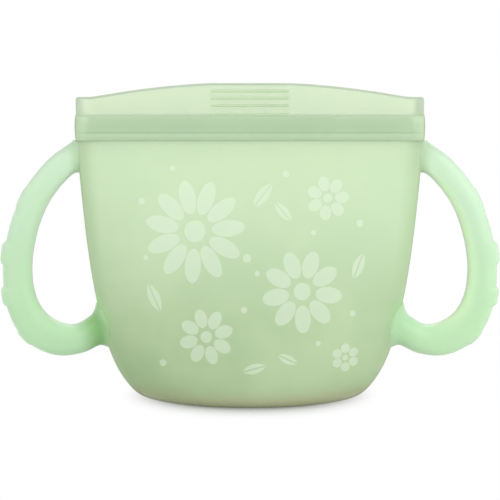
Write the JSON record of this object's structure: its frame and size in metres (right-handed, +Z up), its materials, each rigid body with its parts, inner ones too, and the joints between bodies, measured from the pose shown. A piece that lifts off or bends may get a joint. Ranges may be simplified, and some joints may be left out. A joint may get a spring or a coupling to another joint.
{
  "type": "toddler snack container",
  "caption": "Soft silicone snack cup for a toddler: oval base, press zip along the mouth, grip lips, a loop handle on each side.",
  "frame": {"origin": "centre of the underside of the foot, on the surface that the cup stands on", "axes": "+X to the right seen from the front, along the zip; +Y from the front wall to the back wall; +Z up"},
  "size_m": [0.1758, 0.0526, 0.1101],
  "materials": {
    "silicone_body": "matt translucent silicone",
    "silicone_zip": "matt translucent silicone, thicker",
    "silicone_lip": "matt translucent silicone, thin",
    "silicone_handle": "smooth translucent silicone"
  },
  "bodies": {
    "cup": {"bowl": "silicone_body", "left_side_wall": "silicone_body", "right_side_wall": "silicone_body", "left_zip_end": "silicone_zip", "right_zip_end": "silicone_zip", "left_handle": "silicone_handle", "right_handle": "silicone_handle"},
    "front_side": {"front_wall": "silicone_body", "front_zip_band": "silicone_zip", "zip_rib": "silicone_zip", "front_lip": "silicone_lip", "front_grip_ribs": "silicone_lip"},
    "back_side": {"back_wall": "silicone_body", "back_zip_band": "silicone_zip", "zip_channel": "silicone_zip", "back_lip": "silicone_lip", "back_grip_ribs": "silicone_lip"}
  },
  "joints": [
    {"name": "front_side_open", "type": "hinge", "parent": "cup", "child": "front_side", "pos_m": [0, -0.0255, 0.02015], "axis": [1, 0, 0], "range_deg": [0, 18]},
    {"name": "back_side_open", "type": "hinge", "parent": "cup", "child": "back_side", "pos_m": [0, 0.0255, 0.02015], "axis": [-1, 0, 0], "range_deg": [0, 18]}
  ]
}
